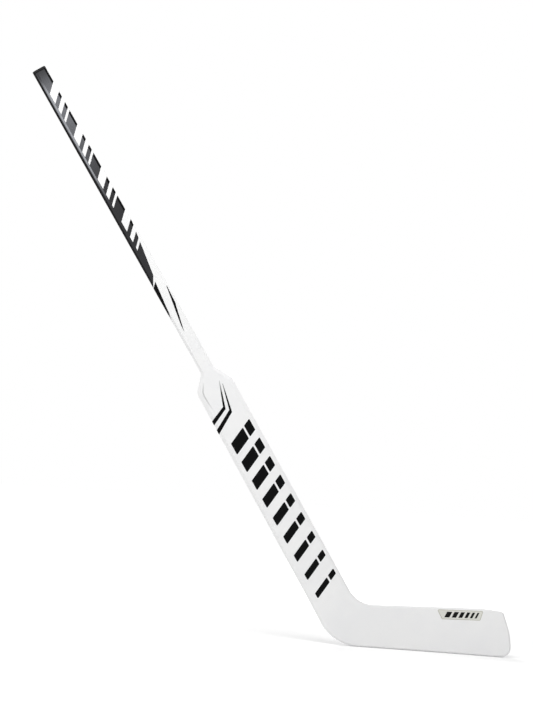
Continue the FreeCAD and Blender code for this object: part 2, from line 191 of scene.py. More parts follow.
class Shader:
    """A node tree of a material or of the world, built from expressions."""

    MIX_SHARE = 0
    MIX_FIRST = 6
    MIX_SECOND = 7
    MIX_COLOUR = 2

    def __init__(self, tree: bpy.types.NodeTree) -> None:
        """Start from an empty tree."""
        self.tree = tree
        tree.nodes.clear()

    def node(
        self, kind: str, settings: Mapping[str, Any], sockets: Mapping[Key, Value], out: Key = 0
    ) -> Wire:
        """Add one node.

        Args:
            kind: The node's type.
            settings: Its properties, which are set first.
            sockets: Values or wires of the inputs.
            out: The output that is returned.

        Returns:
            The chosen output.
        """
        made = self.tree.nodes.new(kind)
        for key, value in settings.items():
            setattr(made, key, value)
        for key, value in sockets.items():
            if isinstance(value, Wire):
                self.tree.links.new(value.port, made.inputs[key])
            else:
                made.inputs[key].default_value = value
        return Wire(self, made.outputs[out])

    def math(self, operation: str, first: Value, second: Value = 0.0) -> Wire:
        """Add a Math node."""
        return self.node("ShaderNodeMath", {"operation": operation}, {0: first, 1: second})

    def blend(self, share: Value, first: Value, second: Value) -> Wire:
        """Mix two colours by a share."""
        sockets = {self.MIX_SHARE: share, self.MIX_FIRST: opaque(first), self.MIX_SECOND: opaque(second)}
        return self.node("ShaderNodeMix", {"data_type": "RGBA"}, sockets, self.MIX_COLOUR)

    def step(self, value: Value, band: Spot) -> Wire:
        """Smooth rise from 0 to 1 over a band of a value."""
        sockets = {"Value": value, "From Min": band[0], "From Max": band[1]}
        return self.node("ShaderNodeMapRange", {"interpolation_type": "SMOOTHSTEP"}, sockets)

    def place(self) -> Wire:
        """Object coordinates, in metres."""
        return self.node("ShaderNodeTexCoord", {}, {}, "Object")

    def along(self, place: Wire, direction: Vector, start: Vector) -> Wire:
        """Distance of a place from a start, along a direction.

        Args:
            place: Coordinates in metres.
            direction: Unit vector.
            start: Point that counts as zero, in metres.

        Returns:
            The distance in metres.
        """
        settings = {"operation": "DOT_PRODUCT"}
        reach = self.node("ShaderNodeVectorMath", settings, {0: place, 1: tuple(direction)}, "Value")
        return reach - start.dot(direction)

    def height(self, place: Wire) -> Wire:
        """Distance up the shaft, in metres."""
        return self.along(place, STANCE.axis, STANCE.heel)

    def offset(self, place: Wire) -> Wire:
        """Distance across the shaft, in metres."""
        return self.along(place, STANCE.across, STANCE.heel)

    def stretched(self, place: Wire, stretch: Triple) -> Wire:
        """Coordinates turned to the shaft and scaled, for patterns that run along it.

        Args:
            place: Coordinates in metres.
            stretch: Scale across the shaft, through it and along it.

        Returns:
            The scaled coordinates.
        """
        sides = (STANCE.across, THROUGH, STANCE.axis)
        lengths = [self.along(place, side, STANCE.heel) * scale for side, scale in zip(sides, stretch)]
        return self.node("ShaderNodeCombineXYZ", {}, dict(enumerate(lengths)))

    def noise(self, place: Wire, grain: Grain) -> Wire:
        """Soft noise from 0 to 1."""
        sockets = {
            "Vector": place,
            "Scale": grain.scale,
            "Detail": grain.detail,
            "Roughness": grain.roughness,
        }
        return self.node("ShaderNodeTexNoise", {}, sockets, "Fac")

    def cells(self, place: Wire, scale: float) -> Wire:
        """Distance from the middle of round cells."""
        return self.node("ShaderNodeTexVoronoi", {}, {"Vector": place, "Scale": scale}, "Distance")

    def wave(self, distance: Wire, pitch: float) -> Wire:
        """Sine of a distance in metres, for a pitch in millimetres."""
        return self.math("SINE", distance * (math.tau / (pitch * MM)))

    def faded(self, place: Wire, tone: Wire, under: Colour, fades: Sequence[Spot]) -> Wire:
        """Let a colour fade out along the shaft.

        Args:
            place: Coordinates in metres.
            tone: The full colour.
            under: What it fades into.
            fades: Pairs of heights in millimetres: where the colour is full and where it is gone.

        Returns:
            The fading colour.
        """
        for full, gone in fades:
            share = self.step(self.height(place), (full * MM, gone * MM))
            tone = self.blend(share, tone, under)
        return tone

    def bump(self, height: Wire, relief: Relief) -> Wire:
        """Normal of a surface with small heights."""
        sockets = {"Height": height, "Strength": relief.strength, "Distance": relief.depth * MM}
        return self.node("ShaderNodeBump", {}, sockets)

    def surface(self, shader: Wire, output: str = "ShaderNodeOutputMaterial") -> None:
        """Connect a shader to the tree's output."""
        made = self.tree.nodes.new(output)
        self.tree.links.new(shader.port, made.inputs["Surface"])

    def coat(self, sockets: Mapping[Key, Value]) -> None:
        """End the tree in a Principled shader."""
        self.surface(self.node("ShaderNodeBsdfPrincipled", {}, sockets, "BSDF"))


def opaque(value: Value) -> Value:
    """Give a plain colour its fourth channel.

    Args:
        value: A colour of three numbers, or anything else.

    Returns:
        The colour with full alpha, or the value as it is.
    """
    if isinstance(value, tuple) and len(value) == 3:
        return (*value, 1.0)
    return value


def shaded(colour: Colour, share: float) -> Colour:
    """A colour dimmed to a share of its light."""
    red, green, blue = colour
    return share * red, share * green, share * blue


class Finish:
    """A surface finish that makes its material once."""

    name: str

    def material(self) -> bpy.types.Material:
        """The material of this finish, made on first use.

        Returns:
            The material, shared by all pieces with this finish.
        """
        known = bpy.data.materials.get(self.name)
        if known:
            return known
        made = bpy.data.materials.new(self.name)
        made.use_nodes = True
        self.paint(Shader(made.node_tree))
        return made

    def paint(self, shader: Shader) -> None:
        """Build the nodes in an empty tree."""
        raise NotImplementedError


@dataclass(frozen=True)
class WhiteLaminate(Finish):
    """White paint over a glass-cloth laminate: faint weave, soft unevenness, light rub marks."""

    name: str = "white_laminate"
    tone: Colour = (0.845, 0.845, 0.842)
    cool: Colour = (0.822, 0.823, 0.828)
    rubbed: Colour = (0.66, 0.66, 0.655)
    cloud: Grain = Grain(14.0, 4.0, 0.6)
    cloud_band: Spot = (0.3, 0.7)
    peel: Grain = Grain(420.0, 2.0)
    streak: Grain = Grain(1.0, 4.0)
    streak_stretch: Triple = (260.0, 260.0, 18.0)
    rub_band: Spot = (0.66, 0.8)
    rub_share: float = 0.12
    weave_pitch: float = 2.4
    rough: float = 0.36
    rough_cloud: float = 0.10
    rough_rub: float = 0.12
    shine: float = 0.4
    cloth_height: float = 0.6
    peel_height: float = 0.6
    cloud_height: float = 0.5
    relief: Relief = Relief(0.3, 0.05)

    def paint(self, shader: Shader) -> None:
        """Build the nodes.

        Args:
            shader: The empty tree.
        """
        place = shader.place()
        cloud = shader.noise(place, self.cloud)
        peel = shader.noise(place, self.peel)
        warp = shader.wave(shader.height(place), self.weave_pitch)
        weft = shader.wave(shader.offset(place), self.weave_pitch)
        cloth = 0.5 + 0.5 * warp * weft
        streak = shader.noise(shader.stretched(place, self.streak_stretch), self.streak)
        rub = shader.step(streak, self.rub_band)
        tone = shader.blend(shader.step(cloud, self.cloud_band), self.tone, self.cool)
        heights = cloth * self.cloth_height + peel * self.peel_height + cloud * self.cloud_height
        shader.coat({
            "Base Color": shader.blend(rub * self.rub_share, tone, self.rubbed),
            "Roughness": self.rough + self.rough_cloud * cloud + self.rough_rub * rub,
            "Specular IOR Level": self.shine,
            "Normal": shader.bump(heights, self.relief),
        })


@dataclass(frozen=True)
class BlackCoat(Finish):
    """Black satin coat of the shaft: fine fibre streaks, a dusting of specks and faint unevenness."""

    name: str = "shaft_black_coat"
    tone: Colour = (0.003, 0.003, 0.0034)
    grey: Colour = (0.006, 0.006, 0.007)
    dust: Colour = (0.018, 0.018, 0.021)
    fibre: Grain = Grain(1.0, 3.0)
    fibre_stretch: Triple = (900.0, 900.0, 30.0)
    fibre_band: Spot = (0.35, 0.75)
    cloud: Grain = Grain(22.0, 4.0, 0.6)
    speck: Grain = Grain(1500.0, 1.0)
    speck_band: Spot = (0.70, 0.78)
    speck_share: float = 0.35
    rough: float = 0.30
    rough_cloud: float = 0.10
    rough_fibre: float = 0.08
    shine: float = 0.12
    cloud_height: float = 0.6
    relief: Relief = Relief(0.25, 0.06)

    def paint(self, shader: Shader) -> None:
        """Build the nodes.

        Args:
            shader: The empty tree.
        """
        place = shader.place()
        fibre = shader.noise(shader.stretched(place, self.fibre_stretch), self.fibre)
        cloud = shader.noise(place, self.cloud)
        speck = shader.step(shader.noise(place, self.speck), self.speck_band)
        tone = shader.blend(shader.step(fibre, self.fibre_band), self.tone, self.grey)
        shader.coat({
            "Base Color": shader.blend(speck * self.speck_share, tone, self.dust),
            "Roughness": self.rough + self.rough_cloud * cloud + self.rough_fibre * fibre,
            "Specular IOR Level": self.shine,
            "Normal": shader.bump(fibre + cloud * self.cloud_height, self.relief),
        })


@dataclass(frozen=True)
class PlugRubber(Finish):
    """Moulded black rubber with a stippled skin and a pale bloom."""

    name: str = "plug_black_rubber"
    tone: Colour = (0.007, 0.007, 0.0075)
    bloom: Colour = (0.016, 0.016, 0.017)
    bloom_band: Spot = (0.4, 0.75)
    cloud: Grain = Grain(60.0, 4.0)
    stipple_scale: float = 1400.0
    rough: float = 0.62
    rough_cloud: float = 0.14
    shine: float = 0.3
    relief: Relief = Relief(0.4, 0.12)

    def paint(self, shader: Shader) -> None:
        """Build the nodes.

        Args:
            shader: The empty tree.
        """
        place = shader.place()
        stipple = shader.cells(place, self.stipple_scale)
        cloud = shader.noise(place, self.cloud)
        shader.coat({
            "Base Color": shader.blend(shader.step(cloud, self.bloom_band), self.tone, self.bloom),
            "Roughness": self.rough + self.rough_cloud * cloud,
            "Specular IOR Level": self.shine,
            "Normal": shader.bump(stipple, self.relief),
        })


@dataclass(frozen=True)
class PrintInk(Finish):
    """Printed ink with fine wear, which may fade into what lies under it.

    Each fade is a pair of heights along the shaft: where the ink is full and where it is gone.
    """

    name: str
    ink: Colour
    worn: Colour
    under: Colour = (0.83, 0.83, 0.83)
    fades: Tuple[Spot, ...] = ()
    cloud: Grain = Grain(30.0, 4.0, 0.6)
    cloud_share: float = 0.03
    grain: Grain = Grain(1600.0, 2.0)
    wear_band: Spot = (0.62, 0.8)
    wear_share: float = 0.04
    rough: float = 0.38
    rough_cloud: float = 0.12
    shine: float = 0.05
    relief: Relief = Relief(0.15, 0.05)

    def paint(self, shader: Shader) -> None:
        """Build the nodes.

        Args:
            shader: The empty tree.
        """
        place = shader.place()
        cloud = shader.noise(place, self.cloud)
        grain = shader.noise(place, self.grain)
        wear = shader.step(grain, self.wear_band) * self.wear_share
        tone = shader.blend(wear + self.cloud_share * cloud, self.ink, self.worn)
        shader.coat({
            "Base Color": shader.faded(place, tone, self.under, self.fades),
            "Roughness": self.rough + self.rough_cloud * cloud,
            "Specular IOR Level": self.shine,
            "Normal": shader.bump(grain, self.relief),
        })


@dataclass(frozen=True)
class GraphiteWeaveWithPaintedSheen(Finish):
    """Woven graphite face of the shaft with a satin gloss; its slate tone, lighter than the black coat and
    darker towards its ends, is partly a painted reflection of the lamp.
    """

    name: str = "shaft_graphite_painted_sheen"
    warp: Colour = (0.150, 0.154, 0.168)
    weft: Colour = (0.112, 0.115, 0.126)
    dark: Colour = (0.016, 0.016, 0.018)
    # Painted reflection: heights where the lighter face is full and where it has faded into the dark coat.
    fades: Tuple[Spot, ...] = ((1315.0, 1380.0), (1310.0, 1060.0))
    pitch: float = 2.6
    twill_height: float = 0.32
    cross_height: float = 0.18
    weave_band: Spot = (0.3, 1.1)
    cloud: Grain = Grain(26.0, 4.0, 0.6)
    cloud_share: float = 0.4
    rough: float = 0.34
    rough_cloud: float = 0.12
    shine: float = 0.35
    relief: Relief = Relief(0.25, 0.05)

    def paint(self, shader: Shader) -> None:
        """Build the nodes.

        Args:
            shader: The empty tree.
        """
        place = shader.place()
        height = shader.height(place)
        offset = shader.offset(place)
        twill = shader.wave(height + offset, self.pitch)
        cross = shader.wave(height - offset, 2.0 * self.pitch)
        weave = 0.5 + self.twill_height * twill + self.cross_height * cross
        cloud = shader.noise(place, self.cloud)
        share = shader.step(weave + self.cloud_share * cloud, self.weave_band)
        tone = shader.blend(share, self.weft, self.warp)
        shader.coat({
            "Base Color": shader.faded(place, tone, self.dark, self.fades),
            "Roughness": self.rough + self.rough_cloud * cloud,
            "Specular IOR Level": self.shine,
            "Normal": shader.bump(weave, self.relief),
        })


@dataclass(frozen=True)
class Streaked(Finish):
    """Fine straight streaks of two tones: a brushed foil, or fibre rovings set in resin."""

    name: str
    tone: Colour
    streak: Colour
    grain: Grain
    stretch: Triple
    band: Spot
    rough: float
    relief: Relief
    rough_streak: float = 0.2
    metal: float = 0.0

    def paint(self, shader: Shader) -> None:
        """Build the nodes.

        Args:
            shader: The empty tree.
        """
        place = shader.node("ShaderNodeMapping", {}, {"Vector": shader.place(), "Scale": self.stretch})
        streak = shader.noise(place, self.grain)
        shader.coat({
            "Base Color": shader.blend(shader.step(streak, self.band), self.tone, self.streak),
            "Roughness": self.rough + self.rough_streak * streak,
            "Metallic": self.metal,
            "Normal": shader.bump(streak, self.relief),
        })


@dataclass(frozen=True)
class CoreFoam(Finish):
    """Cut rigid foam with open cells, whose size is in millimetres; the middle of each cell is darkened with
    painted shade.
    """

    name: str
    tone: Colour
    cell_size: float
    cell_band: Spot = (0.1, 0.6)
    pit_painted_shade: float = 0.7
    tint: Grain = Grain(35.0, 3.0)
    tint_share: float = 0.3
    tint_shade: float = 0.85
    rough: float = 0.82
    rough_tint: float = 0.1
    relief: Relief = Relief(0.5, 0.2)

    def paint(self, shader: Shader) -> None:
        """Build the nodes.

        Args:
            shader: The empty tree.
        """
        place = shader.place()
        cells = shader.cells(place, 1.0 / (self.cell_size * MM))
        tint = shader.noise(place, self.tint)
        wall = shader.step(cells, self.cell_band)
        # Painted shade: the middle of each cell, where the bump sinks a pit, takes the darker colour.
        tone = shader.blend(wall, shaded(self.tone, self.pit_painted_shade), self.tone)
        shader.coat({
            "Base Color": shader.blend(tint * self.tint_share, tone, shaded(self.tone, self.tint_shade)),
            "Roughness": self.rough + self.rough_tint * tint,
            "Normal": shader.bump(cells, self.relief),
        })


@dataclass(frozen=True)
class Timber(Finish):
    """Pale straight-grained wood, its grain along the shaft."""

    name: str = "pale_timber"
    early: Colour = (0.52, 0.36, 0.20)
    late: Colour = (0.34, 0.21, 0.10)
    stretch: Triple = (160.0, 160.0, 5.0)
    grain: Grain = Grain(1.0, 5.0, 0.6)
    grain_band: Spot = (0.35, 0.7)
    pore: Grain = Grain(6.0, 2.0)
    pore_height: float = 0.4
    rough: float = 0.55
    rough_pore: float = 0.2
    relief: Relief = Relief(0.3, 0.1)

    def paint(self, shader: Shader) -> None:
        """Build the nodes.

        Args:
            shader: The empty tree.
        """
        place = shader.stretched(shader.place(), self.stretch)
        grain = shader.noise(place, self.grain)
        pore = shader.noise(place, self.pore)
        shader.coat({
            "Base Color": shader.blend(shader.step(grain, self.grain_band), self.early, self.late),
            "Roughness": self.rough + self.rough_pore * pore,
            "Normal": shader.bump(grain + pore * self.pore_height, self.relief),
        })


WHITE = WhiteLaminate()
SHAFT_BLACK = BlackCoat()
GRAPHITE_WITH_SHEEN = GraphiteWeaveWithPaintedSheen()
RUBBER = PlugRubber()
FOIL = Streaked(
    "label_pale_foil", (0.73, 0.73, 0.68), (0.65, 0.645, 0.585), Grain(1.0, 3.0),
    stretch=(60.0, 60.0, 2600.0), band=(0.35, 0.7), rough=0.34, relief=Relief(0.2, 0.03), metal=0.15,
)
LIGHT_FOAM = CoreFoam("light_core_foam", (0.78, 0.72, 0.58), 0.9)
DENSE_FOAM = CoreFoam("dense_core_foam", (0.55, 0.50, 0.40), 0.5)
TIMBER = Timber()
FIBRE = Streaked(
    "dark_fibre_strip", (0.055, 0.055, 0.058), (0.105, 0.105, 0.112), Grain(1.0, 4.0),
    stretch=(20.0, 700.0, 700.0), band=(0.4, 0.65), rough=0.4, relief=Relief(0.3, 0.08),
)

WORN_BLACK: Colour = (0.05, 0.05, 0.05)
BAR_INK = PrintInk("paddle_bar_ink", (0.003, 0.003, 0.0032), WORN_BLACK)
DART_INK = PrintInk("shaft_dart_ink", (0.003, 0.003, 0.0034), WORN_BLACK)
STRIPE_INK = PrintInk(
    "shoulder_stripe_ink", (0.002, 0.002, 0.0022), WORN_BLACK, fades=((576.0, 626.0),)
)
# Painted shade: a grey line along the ridge of the shoulder's bevel, where shade falls, fading out at both
# ends.
CREASE_SHADE = PrintInk(
    "shoulder_crease_painted_shade", (0.56, 0.56, 0.56), (0.66, 0.66, 0.66),
    fades=((604.0, 626.0), (598.0, 550.0)),
)
DASH_INK = PrintInk("shaft_dash_ink", (0.83, 0.83, 0.83), (0.60, 0.60, 0.60))
# Painted highlight: a light strip along the shaft's front edge that stands in for the lamp's reflection
# there, fading out at both ends.
EDGE_HIGHLIGHT = PrintInk(
    "shaft_edge_painted_highlight", (0.29, 0.30, 0.32), (0.12, 0.12, 0.13), (0.04, 0.04, 0.044),
    ((1320.0, 1360.0), (1150.0, 1050.0)),
)
LABEL_INK = PrintInk("label_ink", (0.010, 0.010, 0.009), (0.12, 0.12, 0.11))
LABEL_EDGE = PrintInk("label_edge_ink", (0.50, 0.49, 0.42), (0.60, 0.59, 0.54))


def dress(node: str, finish: Finish) -> None:
    """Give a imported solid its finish.

    Args:
        node: Name of the solid.
        finish: Finish for all of its surface.
    """
    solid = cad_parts[node]
    solid.data.materials.clear()
    solid.data.materials.append(finish.material())
    LOG.info("dressed %s in %s", node, finish.name)


def only(piece: bpy.types.Object) -> None:
    """Select one object and nothing else.

    Args:
        piece: The object, which also becomes the active one.
    """
    bpy.ops.object.select_all(action="DESELECT")
    piece.select_set(True)
    bpy.context.view_layer.objects.active = piece


def apply_modifier(piece: bpy.types.Object, kind: str, settings: Mapping[str, Any]) -> None:
    """Add a modifier to a piece and apply it.

    Args:
        piece: The piece to change.
        kind: The modifier's type.
        settings: Its properties.
    """
    only(piece)
    made = piece.modifiers.new(kind.lower(), kind)
    for key, value in settings.items():
        setattr(made, key, value)
    bpy.ops.object.modifier_apply(modifier=made.name)


def slanted(left: float, right: float, low: float, high: float, slope: float = 0.0) -> List[Spot]:
    """A four-cornered outline with upright ends.

    Args:
        left: Offset of one end.
        right: Offset of the other end.
        low: Height of the lower edge on the axis.
        high: Height of the upper edge on the axis.
        slope: How much both edges climb from left to right.

    Returns:
        The corners, against the clock.
    """
    return [
        (left, low + left * slope),
        (right, low + right * slope),
        (right, high + right * slope),
        (left, high + left * slope),
    ]


def rounded(corners: Outline, radius: float, steps: int = 5) -> List[Spot]:
    """A convex outline with rounded corners.

    Args:
        corners: Corners in order against the clock.
        radius: Radius of each corner.
        steps: Points on each corner's arc.

    Returns:
        The outline's points in the same order.
    """
    points: List[Spot] = []
    count = len(corners)
    for index in range(count):
        here = Vector(corners[index])
        before = (Vector(corners[index - 1]) - here).normalized()
        after = (Vector(corners[(index + 1) % count]) - here).normalized()
        half = before.angle(after) / 2.0
        middle = here + (before + after).normalized() * (radius / math.sin(half))
        first = here + before * (radius / math.tan(half)) - middle
        last = here + after * (radius / math.tan(half)) - middle
        for step in range(steps):
            arm = first.lerp(last, step / (steps - 1.0)).normalized() * radius
            points.append((middle.x + arm.x, middle.y + arm.y))
    return points


def ribbon(points: Outline, width: float) -> List[List[Spot]]:
    """Outlines of the stretches of a bent line, mitred where they meet.

    Args:
        points: Points of the line's middle, in order.
        width: Width of the line.

    Returns:
        One convex outline for each stretch.
    """
    spots = [Vector(point) for point in points]
    sides = [(after - before).normalized().orthogonal() for before, after in zip(spots, spots[1:])]
    edges = []
    for spot, before, after in zip(spots, [sides[0], *sides], [*sides, sides[-1]]):
        middle = (before + after).normalized()
        arm = middle * (width / 2.0 / middle.dot(before))
        edges.append((tuple(spot - arm), tuple(spot + arm)))
    return [[low[0], high[0], high[1], low[1]] for low, high in zip(edges, edges[1:])]


Keeper = Callable[[Vector, Vector], bool]
Placer = Callable[[Spot], Vector]


@dataclass(frozen=True)
class Layer:
    """Height of a film's underside above its solid and the film's thickness, in millimetres."""

    base: float = 0.02
    rise: float = 0.12


@dataclass
class Film:
    """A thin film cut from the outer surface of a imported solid."""

    name: str
    source: str
    finish: Finish
    slot: Slot
    keep: Keeper
    layer: Layer = Layer()
    place: Placer = STANCE.at

    def build(self, outlines: Sequence[Outline]) -> bpy.types.Object:
        """Cut the film to one or more convex outlines.

        Args:
            outlines: Outlines against the clock as seen from the front, in the film's own measures.

        Returns:
            The finished piece, riding on the stick.
        """
        parts = [self._cut([self.place(spot) for spot in outline]) for outline in outlines]
        only(parts[0])
        for part in parts:
            part.select_set(True)
        if len(parts) > 1:
            bpy.ops.object.join()
        piece = parts[0]
        piece.name = self.name
        piece.data.name = self.name
        self._thicken(piece)
        piece.data.materials.clear()
        piece.data.materials.append(self.finish.material())
        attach(piece, Body.STICK.value)
        LOG.info("built %s with %d faces", self.name, len(piece.data.polygons))
        return piece

    def _cut(self, corners: Sequence[Vector]) -> bpy.types.Object:
        """A copy of the solid's outer surface inside one outline.

        Args:
            corners: Corners of a convex outline in the XZ plane.

        Returns:
            The cut surface.
        """
        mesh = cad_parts[self.source].data.copy()
        part = bpy.data.objects.new(self.name, mesh)
        bpy.context.collection.objects.link(part)
        only(part)
        bpy.ops.object.mode_set(mode="EDIT")
        bpy.ops.mesh.select_mode(type="FACE")
        bpy.ops.mesh.select_all(action="SELECT")
        bpy.ops.mesh.remove_doubles(threshold=WELD)
        bpy.ops.object.mode_set(mode="OBJECT")
        for face in mesh.polygons:
            face.select = not self.keep(face.center, face.normal)
        bpy.ops.object.mode_set(mode="EDIT")
        bpy.ops.mesh.delete(type="FACE")
        for first, second in zip(corners, [*corners[1:], corners[0]]):
            side = second - first
            bpy.ops.mesh.select_all(action="SELECT")
            outward = (side.z, 0.0, -side.x)
            bpy.ops.mesh.bisect(plane_co=first, plane_no=outward, clear_outer=True, threshold=HAIR)
        bpy.ops.object.mode_set(mode="OBJECT")
        return part

    def _thicken(self, piece: bpy.types.Object) -> None:
        """Merge the cut surface, lift it off the solid and give it its thickness.

        Args:
            piece: The cut surface.
        """
        only(piece)
        bpy.ops.object.mode_set(mode="EDIT")
        bpy.ops.mesh.select_all(action="SELECT")
        bpy.ops.mesh.remove_doubles(threshold=WELD)
        bpy.ops.mesh.dissolve_limited(angle_limit=FLAT_BEND)
        bpy.ops.mesh.select_all(action="SELECT")
        bpy.ops.transform.shrink_fatten(value=self.layer.base * MM, use_even_offset=True)
        bpy.ops.object.mode_set(mode="OBJECT")
        bpy.ops.mesh.customdata_custom_splitnormals_clear()
        settings = {"thickness": self.layer.rise * MM, "offset": 1.0, "use_even_offset": True}
        apply_modifier(piece, "SOLIDIFY", settings)
        bpy.ops.object.shade_smooth_by_angle(angle=SMOOTH_BEND)


@dataclass
class Shaft:
    """Hollow shaft: black above, with pale dashes, and a white sleeve with dark darts below.

    Heights run along the shaft from the heel corner, offsets across from its axis, in millimetres.
    """

    half_width: float = 15.0
    bevel: float = 4.5
    neck: float = 690.0
    neck_slack: float = 1.0
    end: float = 1372.0
    reach: float = 17.0
    panel_margin: float = 1.5
    panel_layer: Layer = Layer(rise=0.05)
    # Painted highlight strip along the front edge: its lowest height, inset from the bevel, width and layer.
    highlight_low: float = 1050.0
    highlight_inset: float = 1.5
    highlight_width: float = 3.4
    highlight_layer: Layer = Layer(0.08, 0.04)
    border_bend: Spot = (-1.5, 873.6)
    border_high: float = 1009.5
    border_low: float = 846.6
    white_layer: Layer = Layer(base=0.13)
    outer_dart: Tuple[Spot, ...] = ((-17.0, 753.0), (-11.3, 790.0), (-4.5, 859.8), (-17.0, 846.6))
    inner_dart: Tuple[Spot, ...] = (
        (-3.2, 737.0), (-2.9, 737.0), (10.9, 801.0), (12.5, 841.0), (11.5, 841.0), (-2.2, 752.0)
    )
    dart_layer: Layer = Layer(0.26, 0.06)
    dash_left: float = -5.0
    dash_top: float = 1340.0
    dash_groups: int = 4
    dash_lengths: Tuple[float, ...] = (24.0, 13.0, 7.0)
    dash_gap: float = 13.0
    group_gap: float = 34.0
    dash_slope: float = 1.0

    def build(self) -> None:
        """Dress the tube and lay its films."""
        dress("shaft_tube", SHAFT_BLACK)
        self._panels()
        self._sleeve()
        self._darts()
        self._dashes()

    def outside(self, centre: Vector, normal: Vector) -> bool:
        """Whether a face is on the shaft's outer sides, above the paddle.

        Args:
            centre: Middle of the face.
            normal: Its normal.

        Returns:
            True for an outer face.
        """
        offset, height = STANCE.measure(centre)
        level = abs(normal.dot(STANCE.axis)) < SIDE_LEAN
        outward = offset * normal.dot(STANCE.across) + centre.y / MM * normal.y > 0.0
        return level and outward and height > self.neck - self.neck_slack

    def on_face(self, centre: Vector, normal: Vector) -> bool:
        """Whether a face is on the flat front or back of the shaft."""
        return self.outside(centre, normal) and abs(normal.y) > FACE_SHARE

    def on_front(self, centre: Vector, normal: Vector) -> bool:
        """Whether a face is on the flat front of the shaft."""
        return self.on_face(centre, normal) and normal.y < 0.0

    def _film(self, name: str, finish: Finish, slot: Slot, keep: Keeper, layer: Layer) -> Film:
        """A film on the tube, not yet cut."""
        return Film(name, "shaft_tube", finish, slot, keep, layer)

    def _panels(self) -> None:
        """Graphite panels between the bevels, front and back, whose lighter tone is partly a painted
        reflection, and a painted highlight along one edge.
        """
        half = self.half_width - self.bevel
        high = self.end - self.panel_margin
        film = self._film("shaft_graphite_sheen_panels", GRAPHITE_WITH_SHEEN, Slot.SHAFT, self.on_face, self.panel_layer)
        film.build([slanted(-half, half, self.border_low, high)])
        left = self.highlight_inset - half
        film = self._film("shaft_edge_highlight_strip", EDGE_HIGHLIGHT, Slot.SHAFT, self.on_front, self.highlight_layer)
        film.build([slanted(left, left + self.highlight_width, self.highlight_low, high)])

    def _sleeve(self) -> None:
        """White film from the paddle up to a slanted border with a bend."""
        bend = self.border_bend
        foot = (bend[0], self.neck)
        left = [(-self.reach, self.neck), foot, bend, (-self.reach, self.border_low)]
        right = [foot, (self.reach, self.neck), (self.reach, self.border_high), bend]
        film = self._film("shaft_white_sleeve", WHITE, Slot.PADDLE, self.outside, self.white_layer)
        film.build([left, right])

    def _darts(self) -> None:
        """Two tapered dark darts below the border."""
        film = self._film("shaft_darts", DART_INK, Slot.SHAFT, self.outside, self.dart_layer)
        film.build([self.outer_dart, self.inner_dart])

    def _dashes(self) -> None:
        """Pale slanted dashes on the toe side of the black length, long to short in each group."""
        left = self.dash_left
        rise = (self.reach - left) * self.dash_slope
        outlines = []
        top = self.dash_top
        for _ in range(self.dash_groups):
            for length in self.dash_lengths:
                low = top - length
                ends = [self._dash_end(low), self._dash_end(top)]
                outlines.append([(left, low - rise), *ends, (left, top - rise)])
                top = low - self.dash_gap
            top -= self.group_gap - self.dash_gap
        film = self._film("shaft_dashes", DASH_INK, Slot.PADDLE, self.outside, self.white_layer)
        film.build(outlines)

    def _dash_end(self, height: float) -> Spot:
        """End of a dash's slanted edge: on the toe side, or on the sleeve's border if that comes first.

        Args:
            height: Height of the edge on the toe side.

        Returns:
            The end of the edge.
        """
        bend_offset, bend_height = self.border_bend
        climb = (self.border_high - bend_height) / (self.reach - bend_offset)
        start = height - self.reach * self.dash_slope
        meeting = (start - bend_height + bend_offset * climb) / (climb - self.dash_slope)
        offset = min(self.reach, meeting)
        return offset, start + offset * self.dash_slope


class Face(Enum):
    """The two sides of the paddle and blade."""

    FRONT = -1.0
    BACK = 1.0


@dataclass(frozen=True)
class Chevron:
    """A bent stripe: a lower leg from the paddle's edge to a bend, and an upper leg that tapers to a tip.

    The edge holds the heights of the stripe's two sides there, bend and tip the points of both sides.
    """

    edge: Spot
    bend: Tuple[Spot, Spot]
    tip: Tuple[Spot, Spot]

    def legs(self, reach: float) -> List[List[Spot]]:
        """Outlines of the upper and the lower leg.

        Args:
            reach: How far the lower leg runs from the axis, past the paddle's edge.

        Returns:
            The two outlines.
        """
        low, high = self.edge
        inner, outer = self.bend
        return [[inner, outer, *self.tip], [(-reach, low), outer, inner, (-reach, high)]]


